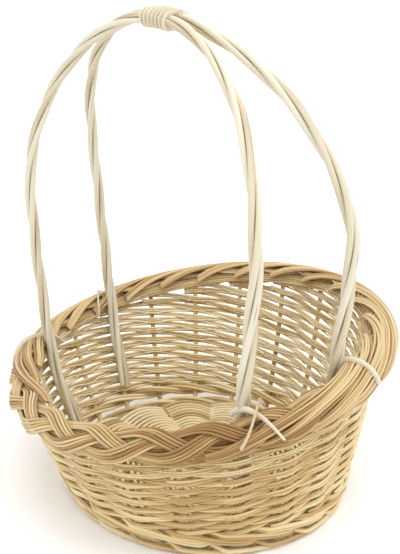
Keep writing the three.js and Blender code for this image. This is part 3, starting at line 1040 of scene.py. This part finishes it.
# %% The hoops' lines
HANDLE_X = -30 * MM
FOOT_SPREAD = 100 * MM
FOOT_DEPTH = 70 * MM
SPRING_HEIGHT = 285 * MM
HANDLE_TOP = 465 * MM
HANDLE_LEAN = 5 * MM
HOOP_BUTT = 4.1 * MM
HOOP_TOP = 2.5 * MM
HOOP_TIP = 2.8 * MM
HOOP_TURN = 202 * MM
SLIM_BUTT = 3.4 * MM
HOOP_SWELLING = 1.02
LEG_BOW = 17 * MM
LEG_STEPS = 16
WEAVER_HALF_WIDTH = 1.8 * MM


def hoop_reach(radius):
    """How far a hoop of three rods reaches from its middle."""
    return (radius + sizes.rod_gap / 2) / math.sin(math.pi / 3) / math.cos(math.pi / 8) + radius


TOP_HALF_GAP = hoop_reach(HOOP_TOP) + sizes.rod_gap / 2


def foot_inset(angle, height):
    past_weave = sizes.stake_radius + 2 * WEAVER_HALF_WIDTH + sizes.rod_gap
    square = past_weave + hoop_reach(HOOP_TIP if angle > 0 else HOOP_BUTT)
    return square * square_to(wall_slope(sizes, angle, height))


def foot_angle(side, end):
    middle = end * math.pi / 2
    inset = foot_inset(middle, wall_height(sizes, middle))
    return end * math.acos((HANDLE_X + side * FOOT_SPREAD / 2) / (sizes.rim_half_x - inset))


def hoop_marks(side):
    """The points that a hoop's middle line passes through."""

    def leg(end):
        angle = foot_angle(side, end)
        top = wall_height(sizes, angle)
        heights = (top - FOOT_DEPTH, top - FOOT_DEPTH / 2, top)
        return [Vector(wall_point(sizes, angle, height, -foot_inset(angle, height))) for height in heights]

    start, finish = leg(1), leg(-1)[::-1]
    marks = list(start)
    near, far = start[2].y - MIDDLE_Y + LEG_BOW, finish[0].y - MIDDLE_Y - LEG_BOW
    for i in range(LEG_STEPS + 1):
        turn = math.pi * i / LEG_STEPS
        close = min(1, 1.04 * math.sin(turn) ** 1.5)
        spread = mix(FOOT_SPREAD / 2, TOP_HALF_GAP, close)
        y = (near + far) / 2 + (near - far) / 2 * math.cos(turn) + HANDLE_LEAN * math.sin(turn)
        z = SPRING_HEIGHT + (HANDLE_TOP - SPRING_HEIGHT) * math.sin(turn)
        marks.append(Vector((MIDDLE_X + HANDLE_X + side * spread, MIDDLE_Y + y, z)))
    return marks + finish


def length_of(line):
    return sum((b - a).length for a, b in zip(line, line[1:]))


hoop_lines = {"near": smooth_line(hoop_marks(-1)), "far": smooth_line(hoop_marks(1))}
print("hoop lengths:", [round(length_of(line) / MM) for line in hoop_lines.values()], "mm")


# %% Roping the hoops
def rope_place(s, n, t):
    tx, ty, tz = s.along
    size = root(most(1 - tx * tx, 0.0001))
    level = ((1 - tx * tx) / size, -(tx * ty) / size, -(tx * tz) / size)
    side = (ty * level[2] - tz * level[1], tz * level[0] - tx * level[2], tx * level[1] - ty * level[0])
    turn = (s.turns * (t - 0.5) + n / s.rods) * (2 * math.pi)
    apart = (rope_thick(s, n, t) + s.rod_gap / 2) / math.sin(math.pi / 3)
    own = ripple(s, combine(s.tree, t * 12, n * 5.0, 0.0), 1.0, 8.0)
    spot = [here + (a * cos(turn) + b * sin(turn)) * apart for here, a, b in zip(s.here, level, side)]
    return [part + waver * s.wander for part, waver in zip(spot, own)]


def rope_thick(s, n, t):
    to_butt, to_tip = most(t * 2 - 1, 0.0), most(1 - t * 2, 0.0)
    past_top = (s.butt_radius - s.top_radius) * power(to_butt, 1.1) + (s.tip_radius - s.top_radius) * to_tip
    return (s.top_radius + past_top) * s.swelling


rope_inputs = {
    "rod_gap": sizes.rod_gap,
    "turns": 7.0,
    "top_radius": HOOP_TOP,
    "butt_radius": SLIM_BUTT,
    "tip_radius": HOOP_TIP,
    "swelling": 1.0,
    "wander": 0.3 * MM,
}
rope_tree = rod_tree("rope", rope_inputs, rope_place, rope_thick, from_path=True)
for number, (name, line) in enumerate(hoop_lines.items()):
    chosen = {"Rods": 3, "Points": 260, "Sides": 16, "Seed": 51 + number}
    chosen.update({"Turns": length_of(line) / HOOP_TURN, "Swelling": HOOP_SWELLING})
    hoop = grow("hoop_" + name, rope_tree, HANDLE_WILLOW, chosen, path_mesh("hoop_line", [line]))
    settle(hoop, nodes_named("hoop_" + name))

# %% [markdown]
# ## Binding
#
# At the top both hoops are bound by split cane: a flat strap with a rounded face, wound seven times. Its line walks
# round a shape of two straight sides and two half-round ends while it creeps along the hoops. A flat strap has to
# know which way is out, so each point of the line also keeps that direction.


# %% Binding
BINDING_TURNS = 7
BINDING_PITCH = 4.9 * MM
STRAP_HALF_WIDTH = 2.0 * MM
STRAP_HALF_THICKNESS = 0.9 * MM


def winding(line, turns, pitch, flat, bend, steps_per_turn=36):
    """The points of a winding round both hoops, and the way out at each."""
    perimeter = 4 * flat + 2 * math.pi * bend
    reach = 0.0
    lengths = [0.0]
    for a, b in zip(line, line[1:]):
        reach += (b - a).length
        lengths.append(reach)
    highest = lengths[max(range(len(line)), key=lambda j: line[j].z)]
    points, outward = [], []
    for i in range(turns * steps_per_turn + 1):
        d = (i / steps_per_turn % 1) * perimeter
        sign = -1 if d >= perimeter / 2 else 1
        d = d % (perimeter / 2)
        turn = math.pi / 2 + max(0.0, d - 2 * flat) / bend
        centre = flat - min(d, 2 * flat)
        x, z = sign * (centre + bend * math.cos(turn)), sign * bend * math.sin(turn)
        away = (sign * math.cos(turn), sign * math.sin(turn))
        want = highest + turns * pitch * (i / (turns * steps_per_turn) - 0.5)
        at = next(j for j, length in enumerate(lengths) if length > want)
        share = (want - lengths[at - 1]) / (lengths[at] - lengths[at - 1])
        here = line[at - 1].lerp(line[at], share)
        along = (line[at] - line[at - 1]).normalized()
        up = Vector((1, 0, 0)).cross(along).normalized()
        up = up if up.z > 0 else -up
        points.append(Vector((MIDDLE_X + HANDLE_X + x, here.y, here.z)) + up * z)
        outward.append(Vector((away[0], 0, 0)) + up * away[1])
    return points, outward


strap_tree = rod_tree(
    "strap", {"rod_radius": STRAP_HALF_WIDTH}, plain_place, even_thick, from_path=True, flat=True
)
strap_out = (HOOP_TOP + sizes.rod_gap / 2) / math.sin(math.pi / 3) + HOOP_TOP + sizes.rod_gap + STRAP_HALF_THICKNESS
wound, wound_out = winding(hoop_lines["far"], BINDING_TURNS, BINDING_PITCH, TOP_HALF_GAP, strap_out)
binding = grow(
    "handle_binding",
    strap_tree,
    SPLIT_WILLOW,
    {"Points": 400, "Sides": 14, "Height": STRAP_HALF_THICKNESS / STRAP_HALF_WIDTH, "Split": -0.5, "Seed": 61},
    path_mesh("binding_line", [wound], wound_out),
)
settle(binding, ["handle_binding"])

# %% [markdown]
# ## Ties
#
# Each foot is tied down by split cane that passes over the border, from the inside to the outside. The front foot
# has two that cross, the second lying on the first. Split cane is flat inside and rounded outside, which the split
# input of the rod tree gives, and a tie lies on the border's outer rods all the way over.

# %% Ties
TIE_HALF_WIDTH = 3.0 * MM
TIE_HALF_THICKNESS = 1.6 * MM
TIE_STEPS = 40
TIE_FIRST_UP = 148


def tie_line(side, end, start, finish, last_up, lift=0.0):
    """The points of a tie and the way out at each.

    start and finish are steps along the border from the foot, and last_up is the turn at which the tie ends.
    """
    middle = foot_angle(side, end)
    points, outward = [], []
    for i in range(TIE_STEPS + 1):
        share = i / TIE_STEPS
        angle = middle + mix(start, finish, share) / sizes.rim_half_x
        up = math.radians(mix(TIE_FIRST_UP, last_up, share))
        depth = LAID_DEPTH + border_sizes.rod_radius + TIE_HALF_THICKNESS * 0.5 + lift * math.sin(math.pi * share)
        here, above = (Vector(border_point(border_sizes, angle, up, depth + more)) for more in (0, MM))
        points.append(here)
        outward.append((above - here).normalized())
    return points, outward


border_sizes = SimpleNamespace(**border_inputs)
laid_ties = [
    tie_line(-1, 1, start=-16.2 * MM, finish=16.2 * MM, last_up=-30),
    tie_line(1, 1, start=27 * MM, finish=-27 * MM, last_up=-30),
    tie_line(1, -1, start=4 * MM, finish=12 * MM, last_up=10),
    tie_line(-1, -1, start=-10 * MM, finish=24 * MM, last_up=5),
    tie_line(-1, -1, start=25 * MM, finish=-10 * MM, last_up=8, lift=4 * MM),
]
tie_lines = [line for line, _ in laid_ties]
tie_outward = [way for _, outward in laid_ties for way in outward]
ties = grow(
    "foot_ties",
    strap_tree,
    SPLIT_WILLOW,
    {
        "Points": 120,
        "Sides": 16,
        "Rod radius": TIE_HALF_WIDTH,
        "Height": TIE_HALF_THICKNESS / TIE_HALF_WIDTH,
        "Split": -0.4,
        "Seed": 71,
    },
    path_mesh("tie_lines", tie_lines, tie_outward),
)
settle(ties, nodes_named("foot_tie"))
